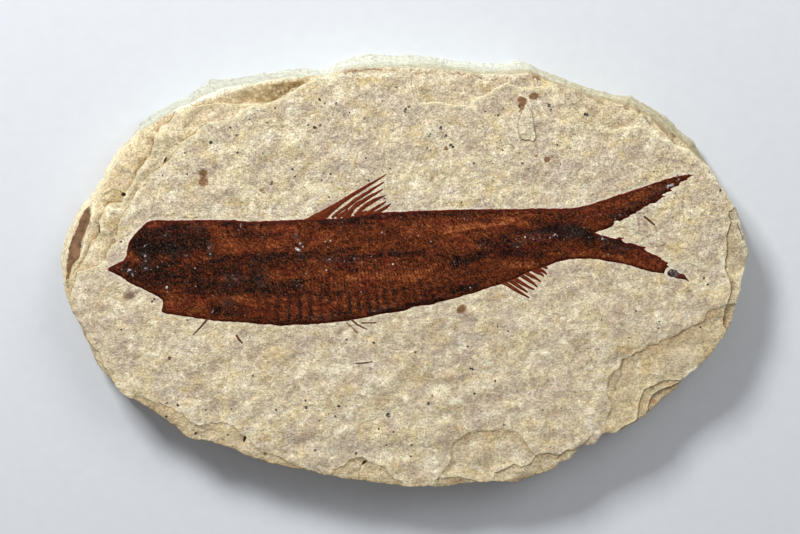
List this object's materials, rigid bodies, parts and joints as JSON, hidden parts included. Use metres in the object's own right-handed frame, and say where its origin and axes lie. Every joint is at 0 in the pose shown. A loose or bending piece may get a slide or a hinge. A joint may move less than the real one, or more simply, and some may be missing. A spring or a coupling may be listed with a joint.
{
  "type": "fossil fish slab",
  "caption": "Thin oval slab of bedded pale limestone with chipped rims and a flat back, and a long pressed fossil fish with a forked tail in low relief on its face.",
  "frame": {"origin": "middle of the object's box, on the slab's flat back", "axes": "+Z out of the face that shows the fish, +X along the slab's length from the fish's head towards its tail, +Y towards the fish's back"},
  "size_m": [0.153, 0.097, 0.0132],
  "materials": {
    "limestone": "matte",
    "fossil_bone": "satin",
    "tail_tip": "satin",
    "loose_bone": "satin"
  },
  "bodies": {
    "root": {"limestone_slab": "limestone", "fossil_fish": "fossil_bone", "lower_tail_tip": "tail_tip", "loose_fin_ray": "loose_bone", "rib_splinter": "loose_bone", "bone_needle": "loose_bone"}
  },
  "joints": []
}
